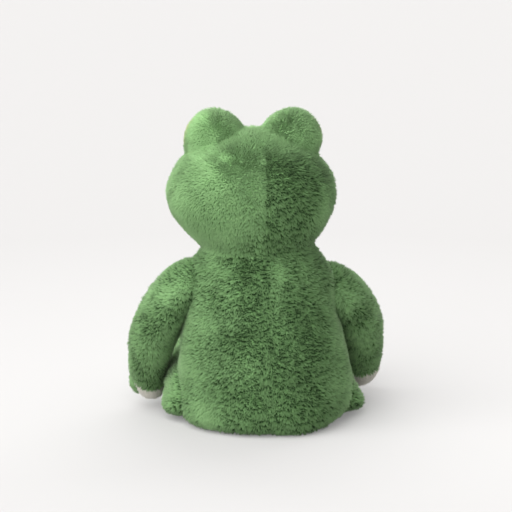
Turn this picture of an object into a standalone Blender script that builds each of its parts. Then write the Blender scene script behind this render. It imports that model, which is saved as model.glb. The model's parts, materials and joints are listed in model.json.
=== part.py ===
"""A plush frog that sits up: fur cloth panels sewn over stuffed forms, with jointed limbs.

The frog faces -Y and its own left is +X. The origin is on the floor, under the middle of the
body. A form is a stack of oval rings, and its panels and its stuffing come from the same rings.
"""

import math

import bmesh
import bpy
from mathutils import Euler, Matrix, Vector
from mathutils.bvhtree import BVHTree

# Driving dimensions, in metres
body_height = 0.225
body_half_width = 0.110
body_front = 0.094
body_back = 0.090
head_height = 0.172
head_half_width = 0.108
head_front = 0.086
head_back = 0.080
arm_length = 0.212
arm_half_thickness = 0.032
arm_half_width = 0.038
leg_length = 0.200
leg_half_width = 0.039
leg_half_height = 0.040

# Cloth and clearances
cloth = 0.008
seam_gap = 0.0003
floor_flat = 0.0005
neck_gap = 0.0009
overrun = 0.060
beyond_all = 0.600
weld = 0.00001

# Places of the joints
neck_forward = 0.004
shoulder_side = 0.075
shoulder_back = 0.004
shoulder_drop = 0.030
shoulder_height = body_height - shoulder_drop
hip_side = 0.081
hip_forward = 0.036
hip_height = leg_half_height - floor_flat

# How far the joints turn
nod_forward = math.radians(15)
nod_back = math.radians(8)
leg_lift = math.radians(30)

# How the limbs lie at rest, turned forward from hanging straight down
arm_pitch = {"left": math.radians(24), "right": math.radians(33)}
leg_pitch = math.radians(90)

# Counts
body_segments = 12
limb_segments = 8
body_stuffing_segments = 8
limb_stuffing_segments = 6
turned_steps = 16
stuffing_ball = (20, 12)
trim_ball = (12, 8)

# Colours, as red, green and blue from 0 to 1
frog_green = (0.40, 0.54, 0.34)
cream = (0.80, 0.79, 0.72)
eye_felt = (0.74, 0.78, 0.55)
stuffing_white = (0.93, 0.93, 0.91)
bag_linen = (0.75, 0.70, 0.60)
eye_black = (0.02, 0.02, 0.02)
washer_white = (0.85, 0.85, 0.83)
thread_green = (0.12, 0.19, 0.11)

sides = {"left": 1, "right": -1}


def clear_scene():
    for obj in list(bpy.data.objects):
        bpy.data.objects.remove(obj)


def new_collection(name, hidden=False):
    collection = bpy.data.collections.new(name)
    bpy.context.scene.collection.children.link(collection)
    collection.hide_render = hidden
    return collection


def linear(colour):
    return [((c + 0.055) / 1.055) ** 2.4 if c > 0.04045 else c / 12.92 for c in colour]


def finish(obj, colour, roughness=0.95):
    """Gives a piece its material, and smooth shading with sharp cut edges."""
    material = bpy.data.materials.new(obj.name)
    material.use_nodes = True
    shader = material.node_tree.nodes["Principled BSDF"]
    shader.inputs["Base Color"].default_value = (*linear(colour), 1)
    shader.inputs["Roughness"].default_value = roughness
    obj.data.materials.clear()
    obj.data.materials.append(material)
    obj.data.shade_smooth()
    obj.data.set_sharp_from_angle(angle=math.radians(50))
    return obj


def add_object(name, mesh, place, helper=False):
    obj = bpy.data.objects.new(name, mesh)
    (cutters if helper else frog).objects.link(obj)
    obj.location, obj.rotation_euler = place
    if helper:
        obj.hide_render = True
        obj.display_type = "WIRE"
    return obj


def mesh_of(name, shape):
    mesh = bpy.data.meshes.new(name)
    shape.to_mesh(mesh)
    shape.free()
    return mesh


def cut(obj, *tools, keep_inside=False):
    """Cuts closed shapes by closed shapes. EXACT loses some of these thin nested shells."""
    for tool in tools:
        boolean = obj.modifiers.new(tool.name, "BOOLEAN")
        boolean.solver = "MANIFOLD"
        boolean.operation = "INTERSECT" if keep_inside else "DIFFERENCE"
        boolean.object = tool
    return obj


def at(x=0, y=0, z=0, turn=(0, 0, 0)):
    return Vector((x, y, z)), Euler(turn)


def rings_of(shares, length, side, half_width, front, back, drop=0):
    """Rings from a table of shares: place along the form, sideways, width, depth and drop."""
    return [
        (along * length, aside * side, wide * half_width, deep * front, deep * back, low * drop)
        for along, aside, wide, deep, low in shares
    ]


def form(name, rings, place, inset=0, segments=body_segments, helper=False):
    """A stuffed form: a sphere's rows moved to the rings, drawn in by inset, then subdivided."""
    shape = bmesh.new()
    rows = len(rings) - 1
    bmesh.ops.create_uvsphere(shape, u_segments=segments, v_segments=rows, radius=1)
    swell = 3 / (2 + math.cos(2 * math.pi / segments))
    middle = (rings[0][0] + rings[-1][0]) / 2
    shrink = 1 - inset / abs(rings[-1][0] - middle)
    for vertex in shape.verts:
        row = round(math.acos(max(-1, min(1, vertex.co.z))) * rows / math.pi)
        around = math.atan2(vertex.co.y, vertex.co.x)
        along, aside, half_width, front, back, drop = rings[row]
        on_pole = row in (0, rows)
        depth = front if around < 0 else back
        vertex.co.x = aside
        vertex.co.y = drop
        if not on_pole:
            vertex.co.x += (half_width - inset) * swell * math.cos(around)
            vertex.co.y += (depth - inset) * swell * math.sin(around)
        vertex.co.z = middle + (along - middle) * shrink
    bmesh.ops.recalc_face_normals(shape, faces=shape.faces)
    obj = add_object(name, mesh_of(name, shape), place, helper)
    subdivision = obj.modifiers.new("soft", "SUBSURF")
    subdivision.levels = 1
    subdivision.render_levels = 1
    return obj


def box(name, low, high, place=None):
    """A cutter from one corner to the other, in the frame of place."""
    shape = bmesh.new()
    bmesh.ops.create_cube(shape, size=1)
    size = [b - a for a, b in zip(low, high)]
    centre = [(a + b) / 2 for a, b in zip(low, high)]
    bmesh.ops.scale(shape, vec=size, verts=shape.verts)
    bmesh.ops.translate(shape, vec=centre, verts=shape.verts)
    return add_object(name, mesh_of(name, shape), place or at(), helper=True)


def ball(name, radii, place, counts, helper=False):
    shape = bmesh.new()
    bmesh.ops.create_uvsphere(shape, u_segments=counts[0], v_segments=counts[1], radius=1)
    bmesh.ops.scale(shape, vec=radii, verts=shape.verts)
    return add_object(name, mesh_of(name, shape), place, helper)


def turned(name, profile, place, helper=False):
    """A turned shape: a profile of radius and height, from the top centre down, about local Z."""
    shape = bmesh.new()
    closed = profile[0] == profile[-1]
    points = [shape.verts.new((radius, 0, height)) for radius, height in profile[closed:]]
    for first, second in zip(points, points[1:] + points[: int(closed)]):
        shape.edges.new((first, second))
    obj = add_object(name, mesh_of(name, shape), place, helper)
    screw = obj.modifiers.new("turn", "SCREW")
    screw.steps = turned_steps
    screw.render_steps = turned_steps
    screw.use_merge_vertices = True
    screw.merge_threshold = weld
    return obj


def prism(name, outline, half_length, place):
    """A cutter: a flat outline in local X and Y, as thick as twice half_length along local Z."""
    curve = bpy.data.curves.new(name, "CURVE")
    curve.dimensions = "2D"
    curve.fill_mode = "BOTH"
    curve.extrude = half_length
    spline = curve.splines.new("POLY")
    spline.points.add(len(outline) - 1)
    for point, (x, y) in zip(spline.points, outline):
        point.co = (x, y, 0, 1)
    spline.use_cyclic_u = True
    return mesh_from_curve(name, curve, place, helper=True)


def mesh_from_curve(name, curve, place, helper=False):
    drawn = bpy.data.objects.new(name + "_curve", curve)
    frog.objects.link(drawn)
    graph = bpy.context.evaluated_depsgraph_get()
    mesh = bpy.data.meshes.new_from_object(drawn.evaluated_get(graph))
    bpy.data.objects.remove(drawn)
    shape = bmesh.new()
    shape.from_mesh(mesh)
    bmesh.ops.remove_doubles(shape, verts=shape.verts, dist=weld)
    bmesh.ops.recalc_face_normals(shape, faces=shape.faces)
    shape.to_mesh(mesh)
    shape.free()
    mesh.name = name
    return add_object(name, mesh, place, helper)


# The body: a pear with a flat seat, of two back panels, a belly, a seat and stuffing
body_shares = (
    (1.10, 1.0, 0.00, 0.00, 0),
    (1.07, 1.0, 0.56, 0.60, 0),
    (0.95, 1.0, 0.73, 0.74, 0),
    (0.78, 0.8, 0.80, 0.80, 0),
    (0.58, 0.4, 0.89, 0.91, 0),
    (0.36, 0.0, 0.99, 1.00, 0),
    (0.16, 0.0, 1.07, 1.03, 0),
    (0.04, 1.0, 0.93, 0.91, 0),
    (0.00, 1.5, 0.64, 0.64, 0),
    (0.00, 1.5, 0.00, 0.00, 0),
)
body_lean = 0.004
body_side_seam = 0.020
body_back_seam = 0.004
seat_seam_height = 0.016
bag_half_width = 0.042
bag_half_depth = 0.028
bag_height = 0.034
bag_back = 0.012
neck_half_width = 0.042
neck_radius = 0.032

# The head: wide at the cheeks, of two back panels, a face, a chin and stuffing
head_shares = (
    (1.00, 1.0, 0.00, 0.00, 0),
    (0.95, 1.0, 0.42, 0.50, 0),
    (0.82, 1.0, 0.76, 0.82, 0),
    (0.64, 1.0, 0.96, 0.97, 0),
    (0.45, 1.0, 1.01, 1.00, 0),
    (0.26, 0.7, 0.86, 0.93, 0),
    (0.13, 0.3, 0.66, 0.83, 0),
    (0.03, 0.2, 0.44, 0.60, 0),
    (0.00, 0.2, 0.00, 0.00, 0),
)
head_sink = 0.020
head_lean = 0.009
face_lean_share = 0.6
head_side_seam = 0.012
head_back_seam = 0.001
chin_seam_height = 0.036

# The eyes: a mound on the head, a felt patch and a plastic eye with its washer
mound_radii = (0.040, 0.035, 0.039)
mound_side = 0.048
mound_forward = 0.014
mound_height = 0.134
mound_rows = 5
felt = 0.0015
patch_radius = 0.029
eye_turn_out = math.radians(46)
eye_turn_up = math.radians(12)
eye_radius = 0.0125
eye_rise = 0.0085
eye_seat_depth = 0.0025
stem_radius = 0.0032
stem_length = 0.014
washer_radius = 0.0092
washer_thickness = 0.0020
washer_slack = 0.0016
dome_steps = 5

# The face's stitching
thread_radius = 0.0013
mouth_half_width = 0.058
mouth_curve = 0.012
mouth_points = 17
nostril_radii = (0.0036, 0.0020, 0.0024)
nostril_side = 0.010
nostril_height = 0.060

# The arms: the first row is the top of the shoulder and the last the tip of the paw
arm_cap = 0.023
arm_splay = 0.062
arm_shares = (
    (0.00, 0.06, 0.00, 0.00, 0),
    (0.03, 0.08, 0.55, 0.56, 0),
    (0.12, 0.24, 0.90, 0.92, 0),
    (0.28, 0.58, 1.00, 1.00, 0),
    (0.48, 0.87, 1.00, 1.00, 0),
    (0.68, 0.97, 0.83, 0.92, 0),
    (0.86, 1.00, 0.68, 0.79, 0),
    (0.96, 0.93, 0.44, 0.58, 0),
    (1.00, 0.90, 0.00, 0.00, 0),
)
palm_height = 0.030
thumb_radii = (0.011, 0.013, 0.022)
thumb_side = 0.011
thumb_forward = 0.004
thumb_rise = 0.021

# The legs: the first row is the root behind the hip and the last the tip of the foot
leg_root = 0.038
leg_shares = (
    (0.00, 0, 0.00, 0.00, 0.0),
    (0.04, 0, 0.55, 0.55, 0.0),
    (0.17, 0, 0.94, 0.93, 0.0),
    (0.36, 0, 1.00, 1.01, 0.0),
    (0.58, 0, 0.88, 0.90, 0.8),
    (0.76, 0, 0.85, 0.87, 1.0),
    (0.89, 0, 0.94, 1.03, 0.0),
    (0.98, 0, 0.62, 0.72, 0.0),
    (1.00, 0, 0.00, 0.00, 0.0),
)
leg_drop = 0.005
leg_press = 0.001
leg_inner = hip_side - leg_half_width + leg_press
sole_depth = 0.016
pocket_gap = 0.001
pocket_start = math.radians(-45)
pocket_steps = 10
arm_leg_gap = 0.001
leg_clear_radius = 0.104
leg_clear_ramp = 0.020
reach_samples = 36
shoulder_steps = 12
shoulder_gap = 0.0005

neck = Vector((body_lean, -neck_forward, body_height))
body_rings = rings_of(
    body_shares, body_height, body_lean, body_half_width, body_front, body_back
)
head_rings = rings_of(
    head_shares, head_height, head_lean, head_half_width, head_front, head_back
)
arm_rings = {
    side: rings_of(
        arm_shares, -arm_length, sign * arm_splay, arm_half_thickness, arm_half_width, arm_half_width
    )
    for side, sign in sides.items()
}
leg_rings = rings_of(
    leg_shares, -leg_length, 0, leg_half_width, leg_half_height, leg_half_height, leg_drop
)


def raised(rings, rise):
    """The rings moved along the form, so that its origin lies on the joint's axis."""
    return [(along + rise, *rest) for along, *rest in rings]


def make_body():
    place = at(z=-floor_flat)
    hollow = form("body_hollow", body_rings, place, cloth - seam_gap, body_stuffing_segments, True)
    floor = box("floor", (-beyond_all, -beyond_all, -overrun), (beyond_all, beyond_all, 0))
    neck_cut = body_height - seam_gap
    above_neck = box("above_neck", (-beyond_all, -beyond_all, neck_cut), [beyond_all] * 3)
    half_gap = seam_gap / 2
    far = body_half_width + overrun
    top = body_height + overrun
    seam = -body_side_seam
    left_edge = half_gap - body_back_seam
    right_edge = -half_gap - body_back_seam
    panels = {
        "body_back_left": ((left_edge, seam + half_gap, seat_seam_height), (far, far, top)),
        "body_back_right": ((-far, seam + half_gap, seat_seam_height), (right_edge, far, top)),
        "belly": ((-far, -far, seat_seam_height), (far, seam - half_gap, top)),
        "seat": ((-far, -far, -far), (far, far, seat_seam_height - seam_gap)),
    }
    pockets = [leg_pocket(side) for side in sides]
    for name, (low, high) in panels.items():
        panel = form(name, body_rings, place)
        cut(panel, box(name + "_outline", low, high), keep_inside=True)
        cut(panel, hollow, floor, above_neck, *pockets)
        finish(panel, cream if name == "belly" else frog_green)
    stuffing = form("body_stuffing", body_rings, place, cloth, body_stuffing_segments)
    bag_space = weighted_bag("bag_space", seam_gap, helper=True)
    cut(stuffing, above_neck, *pockets, neck_form("body_neck_space", seam_gap, True), bag_space)
    finish(stuffing, stuffing_white)
    bag = weighted_bag("pellet_bag", 0)
    bag_floor = cloth + seam_gap
    cut(bag, box("bag_underside", [-beyond_all] * 3, (beyond_all, beyond_all, bag_floor)))
    finish(bag, bag_linen, 0.9)
    finish(neck_form("neck_stuffing", 0), stuffing_white)
    body_seat = form("body_seat", body_rings, place, -seam_gap, body_segments, True)
    return body_seat, floor


def weighted_bag(name, swell, helper=False):
    radii = (bag_half_width + swell, bag_half_depth + swell, bag_height + swell)
    return ball(name, radii, at(y=bag_back, z=cloth), stuffing_ball, helper)


def neck_form(name, swell, helper=False):
    """The neck's stuffing, round about the nod's axis so that the head turns on it."""
    radii = (neck_half_width + swell, neck_radius + swell, neck_radius + swell)
    return ball(name, radii, (neck, Euler()), stuffing_ball, helper)


def leg_pocket(side):
    """The space that a leg sweeps from rest to lifted: a round back and two straight sides."""
    reach = leg_half_height + pocket_gap
    end = math.radians(90) - leg_lift
    outline = [(reach * math.cos(pocket_start), -overrun)]
    for step in range(pocket_steps + 1):
        angle = pocket_start + (end - pocket_start) * step / pocket_steps
        outline.append((reach * math.cos(angle), reach * math.sin(angle)))
    far = body_front + overrun
    tip = Vector(outline[-1]) + far * Vector((-math.sin(end), math.cos(end)))
    outline += [tuple(tip), (-far, tip.y), (-far, -overrun)]
    # Local X is the frog's backward direction, local Y is up and local Z runs across the frog.
    half_length = overrun
    across = leg_inner + half_length
    turn = Matrix(((0, 0, 1), (1, 0, 0), (0, 1, 0))).to_euler()
    middle = Vector((sides[side] * across, -hip_forward, hip_height))
    return prism("leg_pocket_" + side, outline, half_length, (middle, turn))


def make_head():
    rings = raised(head_rings, -head_sink)
    place = at(body_lean, -neck_forward, body_height)
    hollow = form("head_hollow", rings, place, cloth - seam_gap, body_stuffing_segments, True)
    under = neck_wedge()
    half_gap = seam_gap / 2
    far = head_height + overrun
    seam = -head_side_seam
    chin = chin_seam_height
    left_edge = half_gap - head_back_seam
    right_edge = -half_gap - head_back_seam
    panels = {
        "head_back_left": ((left_edge, seam + half_gap, -far), (far, far, far)),
        "head_back_right": ((-far, seam + half_gap, -far), (right_edge, far, far)),
        "face": ((-far, -far, chin + half_gap), (far, seam - half_gap, far)),
        "chin": ((-far, -far, -far), (far, seam - half_gap, chin - half_gap)),
    }
    for name, (low, high) in panels.items():
        panel = form(name, rings, place)
        cut(panel, box(name + "_outline", low, high, place), keep_inside=True)
        cut(panel, hollow, under)
        finish(panel, cream if name == "chin" else frog_green)
    stuffing = form("head_stuffing", rings, place, cloth, body_stuffing_segments)
    cut(stuffing, under, neck_form("head_neck_space", neck_gap, True))
    finish(stuffing, stuffing_white)
    return form("head_seat", rings, place, -seam_gap, body_segments, True)


def neck_wedge():
    """What is cut from under the head, so that it can nod: two planes that rise from the axis."""
    far = head_half_width + overrun
    front = (-far, far * math.tan(nod_forward))
    back = (far, far * math.tan(nod_back))
    outline = [(0, 0), back, (far, -far), (-far, -far), front]
    turn = Matrix(((0, 0, 1), (1, 0, 0), (0, 1, 0))).to_euler()
    return prism("under_head", outline, far, (neck, turn))


def mound_rings():
    """A round form, with its rings spaced as on a ball and let out for the subdivision."""
    rings = []
    swell = 3 / (2 + math.cos(math.pi / mound_rows))
    wide, deep, high = [radius * swell for radius in mound_radii]
    for row in range(mound_rows + 1):
        angle = math.pi * row / mound_rows
        around = math.sin(angle)
        rings.append(
            (high * math.cos(angle), 0, wide * around, deep * around, deep * around, 0)
        )
    return rings


def make_eye(side, head_seat):
    sign = sides[side]
    middle = body_lean + head_lean
    centre = Vector(
        (middle + sign * mound_side, -neck_forward - mound_forward, body_height + mound_height)
    )
    place = (centre, Euler((0, 0, sign * eye_turn_out)))
    # The eye's own axis points forward, a little outward and a little up.
    look = (centre, Euler((math.radians(90) - eye_turn_up, 0, sign * eye_turn_out)))
    surface = mound_radii[1]
    seat = surface - eye_seat_depth
    rings = mound_rings()
    hollow = form("mound_hollow_" + side, rings, place, cloth - seam_gap, limb_stuffing_segments, True)
    eye_space = turned(
        "eye_space_" + side,
        [
            (0, surface + overrun),
            (eye_radius + seam_gap, surface + overrun),
            (eye_radius + seam_gap, seat - seam_gap),
            (stem_radius + seam_gap, seat - seam_gap),
            (stem_radius + seam_gap, seat - stem_length - seam_gap),
            (0, seat - stem_length - seam_gap),
        ],
        look,
        helper=True,
    )
    mound = form("eye_mound_" + side, rings, place, segments=limb_segments)
    cut(mound, head_seat, hollow, eye_space)
    finish(mound, frog_green)

    inner = surface - cloth
    washer_top = inner - washer_radius**2 / (2 * inner) - washer_slack
    washer_space = turned(
        "washer_space_" + side,
        [
            (0, surface + overrun),
            (washer_radius + seam_gap, surface + overrun),
            (washer_radius + seam_gap, seat - stem_length - seam_gap),
            (0, seat - stem_length - seam_gap),
        ],
        look,
        helper=True,
    )
    stuffing = form("eye_mound_stuffing_" + side, rings, place, cloth, limb_stuffing_segments)
    cut(stuffing, head_seat, washer_space)
    finish(stuffing, stuffing_white)

    patch = form("eye_patch_" + side, rings, place, -felt - seam_gap, limb_segments)
    under_patch = form("under_patch_" + side, rings, place, -seam_gap, limb_segments, True)
    patch_outline = turned(
        "patch_outline_" + side,
        [(0, surface + overrun), (patch_radius, surface + overrun), (patch_radius, 0), (0, 0)],
        look,
        helper=True,
    )
    cut(patch, patch_outline, keep_inside=True)
    cut(patch, under_patch, head_seat, eye_space)
    finish(patch, eye_felt)

    dome = []
    for step in range(dome_steps + 1):
        angle = math.radians(90) * step / dome_steps
        dome.append((eye_radius * math.sin(angle), seat + eye_rise * math.cos(angle)))
    stem = [(stem_radius, seat), (stem_radius, seat - stem_length), (0, seat - stem_length)]
    finish(turned("eye_" + side, dome + stem, look), eye_black, 0.08)

    bore = stem_radius + seam_gap
    washer = turned(
        "eye_washer_" + side,
        [
            (bore, washer_top),
            (washer_radius, washer_top),
            (washer_radius, washer_top - washer_thickness),
            (bore, washer_top - washer_thickness),
            (bore, washer_top),
        ],
        look,
    )
    finish(washer, washer_white, 0.4)


def make_face_stitching(head_seat):
    """The mouth's thread lies along the seam of face and chin, and the nostrils above it."""
    graph = bpy.context.evaluated_depsgraph_get()
    head = BVHTree.FromObject(head_seat, graph)
    origin = head_seat.location
    middle = head_lean * face_lean_share

    def on_face(x, z):
        return head.ray_cast(Vector((x, -beyond_all, z)), Vector((0, 1, 0)))[0]

    curve = bpy.data.curves.new("mouth", "CURVE")
    curve.dimensions = "3D"
    curve.bevel_depth = thread_radius
    curve.bevel_resolution = 1
    curve.use_fill_caps = True
    spline = curve.splines.new("POLY")
    spline.points.add(mouth_points - 1)
    for number, point in enumerate(spline.points):
        across = 2 * number / (mouth_points - 1) - 1
        height = chin_seam_height + mouth_curve * across**2
        point.co = (*on_face(middle + across * mouth_half_width, height), 1)
    mouth = mesh_from_curve("mouth_stitching", curve, (origin.copy(), Euler()))
    cut(mouth, head_seat)
    finish(mouth, thread_green, 0.8)
    for side, sign in sides.items():
        place = origin + on_face(middle + sign * nostril_side, nostril_height)
        nostril = ball("nostril_" + side, nostril_radii, (place, Euler()), trim_ball)
        cut(nostril, head_seat)
        finish(nostril, thread_green, 0.8)


def side_reach(body, axis_height, radius, sign):
    """How far the body reaches to one side, at most, on a ring about the shoulder's axis."""
    reach = 0
    outside = body_half_width + overrun
    for step in range(reach_samples):
        angle = 2 * math.pi * step / reach_samples
        back = shoulder_back + radius * math.sin(angle)
        height = axis_height + radius * math.cos(angle)
        hit = body.ray_cast(Vector((sign * outside, back, height)), Vector((-sign, 0, 0)))[0]
        if hit:
            reach = max(reach, sign * hit.x)
    return reach


def shoulder_space(side, body_seat):
    """What is cut from an arm's inner side, so that it swings past the body and the leg.

    It is turned about the shoulder's axis: at each distance from the axis it is as wide as the
    body there, and beyond the leg's nearest point it is as wide as the leg.
    """
    body = BVHTree.FromObject(body_seat, bpy.context.evaluated_depsgraph_get())
    axis_height = shoulder_height - body_seat.location.z
    leg_outer = hip_side + leg_half_width + arm_leg_gap
    profile = []
    for step in range(shoulder_steps + 1):
        radius = (leg_clear_radius - leg_clear_ramp) * step / shoulder_steps
        reach = side_reach(body, axis_height, radius, sides[side])
        profile.append((radius, reach + shoulder_gap))
    far = arm_length + overrun
    profile += [(leg_clear_radius, leg_outer), (far, leg_outer), (far, 0), (0, 0)]
    turn = (0, sides[side] * math.radians(90), 0)
    place = at(0, shoulder_back, shoulder_height, turn)
    return turned("shoulder_space_" + side, profile, place, helper=True)


def make_arm(side, body_seat):
    sign = sides[side]
    rings = raised(arm_rings[side], arm_cap)
    across = body_lean + sign * shoulder_side
    place = at(across, shoulder_back, shoulder_height, (-arm_pitch[side], 0, 0))
    space = shoulder_space(side, body_seat)
    hollow = form("arm_hollow_" + side, rings, place, cloth - seam_gap, limb_stuffing_segments, True)
    far = arm_length + overrun
    half_gap = seam_gap / 2
    palm_top = arm_cap - arm_length + palm_height
    panels = {
        "arm_back_": ((-far, half_gap, palm_top + half_gap), (far, far, far)),
        "arm_front_": ((-far, -far, palm_top + half_gap), (far, -half_gap, far)),
        "palm_": ((-far, -far, -far), (far, far, palm_top - half_gap)),
    }
    for name, (low, high) in panels.items():
        panel = form(name + side, rings, place, segments=limb_segments)
        cut(panel, box(name + side + "_outline", low, high, place), keep_inside=True)
        cut(panel, hollow, space)
        finish(panel, cream if name == "palm_" else frog_green)
    stuffing = form("arm_stuffing_" + side, rings, place, cloth, limb_stuffing_segments)
    cut(stuffing, space)
    finish(stuffing, stuffing_white)

    arm_seat = form("arm_seat_" + side, rings, place, -seam_gap, limb_segments, True)
    offset = Vector(
        (
            sign * (arm_splay + thumb_side),
            -thumb_forward,
            arm_cap - arm_length + thumb_rise,
        )
    )
    turn = Euler((-arm_pitch[side], 0, 0))
    thumb_place = (place[0] + turn.to_matrix() @ offset, turn)
    thumb = ball("thumb_" + side, thumb_radii, thumb_place, trim_ball)
    cut(thumb, arm_seat)
    finish(thumb, frog_green)


def make_leg(side, floor):
    sign = sides[side]
    rings = raised(leg_rings, leg_root)
    place = at(sign * hip_side, -hip_forward, hip_height, (-leg_pitch, 0, 0))
    hollow = form("leg_hollow_" + side, rings, place, cloth - seam_gap, limb_stuffing_segments, True)
    inner_edge = sign * (leg_inner + seam_gap)
    beyond = -sign * overrun
    inner_side = box(
        "leg_inner_side_" + side,
        (min(inner_edge, beyond), -beyond_all, -beyond_all),
        (max(inner_edge, beyond), beyond_all, beyond_all),
    )
    far = leg_length + overrun
    half_gap = seam_gap / 2
    sole = leg_root - leg_length + sole_depth
    # In the leg's own frame the floor lies towards +Y.
    panels = {
        "leg_under_": ((-far, half_gap, sole + half_gap), (far, far, far)),
        "leg_top_": ((-far, -far, sole + half_gap), (far, -half_gap, far)),
        "sole_": ((-far, -far, -far), (far, far, sole - half_gap)),
    }
    for name, (low, high) in panels.items():
        panel = form(name + side, rings, place, segments=limb_segments)
        cut(panel, box(name + side + "_outline", low, high, place), keep_inside=True)
        cut(panel, hollow, inner_side, floor)
        finish(panel, cream if name == "sole_" else frog_green)
    stuffing = form("leg_stuffing_" + side, rings, place, cloth, limb_stuffing_segments)
    cut(stuffing, inner_side)
    finish(stuffing, stuffing_white)


clear_scene()
frog = new_collection("plush_frog")
cutters = new_collection("cutters", hidden=True)
body_seat, floor_cutter = make_body()
head_seat = make_head()
for side in sides:
    make_eye(side, head_seat)
    make_arm(side, body_seat)
    make_leg(side, floor_cutter)
make_face_stitching(head_seat)
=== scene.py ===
import json
import math

import bmesh
import bpy
import numpy as np
from mathutils import Euler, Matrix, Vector
from mathutils.bvhtree import BVHTree
from mathutils.kdtree import KDTree

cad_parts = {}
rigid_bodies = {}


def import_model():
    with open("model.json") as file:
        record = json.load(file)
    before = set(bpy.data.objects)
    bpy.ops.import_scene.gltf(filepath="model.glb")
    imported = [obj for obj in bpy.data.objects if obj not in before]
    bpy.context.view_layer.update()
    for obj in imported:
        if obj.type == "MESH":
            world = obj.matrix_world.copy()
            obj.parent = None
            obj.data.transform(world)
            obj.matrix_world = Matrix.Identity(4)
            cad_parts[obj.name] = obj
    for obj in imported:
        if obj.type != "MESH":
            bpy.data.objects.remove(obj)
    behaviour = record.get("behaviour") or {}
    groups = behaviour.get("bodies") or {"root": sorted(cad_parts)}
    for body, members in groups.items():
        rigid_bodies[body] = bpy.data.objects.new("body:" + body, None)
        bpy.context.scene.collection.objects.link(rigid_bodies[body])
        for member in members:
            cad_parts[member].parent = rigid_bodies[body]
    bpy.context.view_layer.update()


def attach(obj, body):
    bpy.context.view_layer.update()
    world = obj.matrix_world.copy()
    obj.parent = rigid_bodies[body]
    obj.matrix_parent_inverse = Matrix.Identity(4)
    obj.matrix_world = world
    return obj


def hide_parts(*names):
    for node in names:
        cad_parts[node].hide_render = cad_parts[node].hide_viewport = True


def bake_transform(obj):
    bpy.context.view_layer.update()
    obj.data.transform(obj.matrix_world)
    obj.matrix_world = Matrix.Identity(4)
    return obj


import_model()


# The frog's parts are plush cloth sewn into closed forms and stuffed with polyester fibre. These
# are the forms that the stuffing gives the cloth's knitted backing, drawn in from the full shape
# by the height of the pile. They are shaped together, because they press on each other.
pile_height = 0.0055


def stuffed_form(name, rings, pivot, turn=(0, 0, 0), columns=12, levels=2, inset=pile_height):
    """A closed form: a sphere whose rows are moved to the rings, then subdivided.

    A ring is its place along local Z, its shift in X, its half width, its depth to the front and
    to the back, and its shift in Y.
    """
    bpy.ops.object.select_all(action="DESELECT")
    rows = len(rings) - 1
    bpy.ops.mesh.primitive_uv_sphere_add(segments=columns, ring_count=rows, radius=1)
    form = bpy.context.object
    form.name = name
    swell = 3 / (2 + math.cos(2 * math.pi / columns))
    middle = (rings[0][0] + rings[-1][0]) / 2
    shrink = 1 - inset / abs(rings[-1][0] - middle)
    bpy.ops.object.mode_set(mode="EDIT")
    shape = bmesh.from_edit_mesh(form.data)
    shape.select_mode = {"VERT"}
    row_of = [round(math.acos(max(-1, min(1, v.co.z))) * rows / math.pi) for v in shape.verts]

    def pick(row, part):
        for vertex, its_row in zip(shape.verts, row_of):
            in_part = {"all": True, "front": vertex.co.y < -1e-6, "back": vertex.co.y > 1e-6}
            vertex.select = its_row == row and in_part[part]
        shape.select_flush_mode()

    for row, (along, aside, half_width, front, back, drop) in enumerate(rings):
        level = math.cos(math.pi * row / rows)
        radius = math.sin(math.pi * row / rows)
        if 0 < row < rows:
            for part, depth in (("front", front), ("back", back)):
                pick(row, part)
                deep = (depth - inset) * swell / radius
                bpy.ops.transform.resize(value=(1, deep, 1), center_override=(0, 0, level))
        pick(row, "all")
        if 0 < row < rows:
            wide = (half_width - inset) * swell / radius
            bpy.ops.transform.resize(value=(wide, 1, 1), center_override=(0, 0, level))
        height = middle + (along - middle) * shrink
        bpy.ops.transform.translate(value=(aside, drop, height - level))
    bpy.ops.mesh.select_all(action="SELECT")
    bpy.ops.mesh.normals_make_consistent(inside=False)
    bpy.ops.object.mode_set(mode="OBJECT")
    form.location = pivot
    form.rotation_euler = turn
    bpy.ops.object.transform_apply(location=True, rotation=True, scale=True)
    soften = form.modifiers.new("soften", "SUBSURF")
    soften.levels = levels
    soften.render_levels = levels
    bpy.ops.object.modifier_apply(modifier=soften.name)
    bpy.ops.object.shade_smooth()
    return form


def points_of(piece):
    points = np.empty(len(piece.data.vertices) * 3, np.float32)
    piece.data.vertices.foreach_get("co", points)
    return points.reshape(-1, 3).astype(np.float64)


def set_points(piece, points):
    piece.data.vertices.foreach_set("co", points.ravel())
    piece.data.update()


def normals_of(piece):
    normals = np.empty(len(piece.data.vertices) * 3, np.float32)
    piece.data.vertices.foreach_get("normal", normals)
    return normals.reshape(-1, 3).astype(np.float64)


def unit(vectors):
    return vectors / np.maximum(np.linalg.norm(vectors, axis=-1, keepdims=True), 1e-9)


def choose(*pieces):
    """Selects these pieces alone, and makes the first one active."""
    bpy.ops.object.select_all(action="DESELECT")
    for piece in pieces:
        piece.select_set(True)
    bpy.context.view_layer.objects.active = pieces[0]


body_rings = (
    (0.2475, 0.0040, 0.0000, 0.0000, 0.0000, 0.0),
    (0.2408, 0.0040, 0.0616, 0.0564, 0.0540, 0.0),
    (0.2137, 0.0040, 0.0803, 0.0696, 0.0666, 0.0),
    (0.1755, 0.0032, 0.0880, 0.0752, 0.0720, 0.0),
    (0.1305, 0.0016, 0.0979, 0.0855, 0.0819, 0.0),
    (0.0810, -0.0030, 0.1080, 0.0940, 0.0900, 0.0),
    (0.0360, -0.0060, 0.1130, 0.0968, 0.0930, 0.0),
    (0.0070, 0.0000, 0.1080, 0.0880, 0.0890, 0.0),
    (-0.0035, 0.0040, 0.0880, 0.0720, 0.0740, 0.0),
    (-0.0035, 0.0040, 0.0000, 0.0000, 0.0000, 0.0),
)
body_form = stuffed_form("body_form", body_rings, (0, 0, 0))

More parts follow.
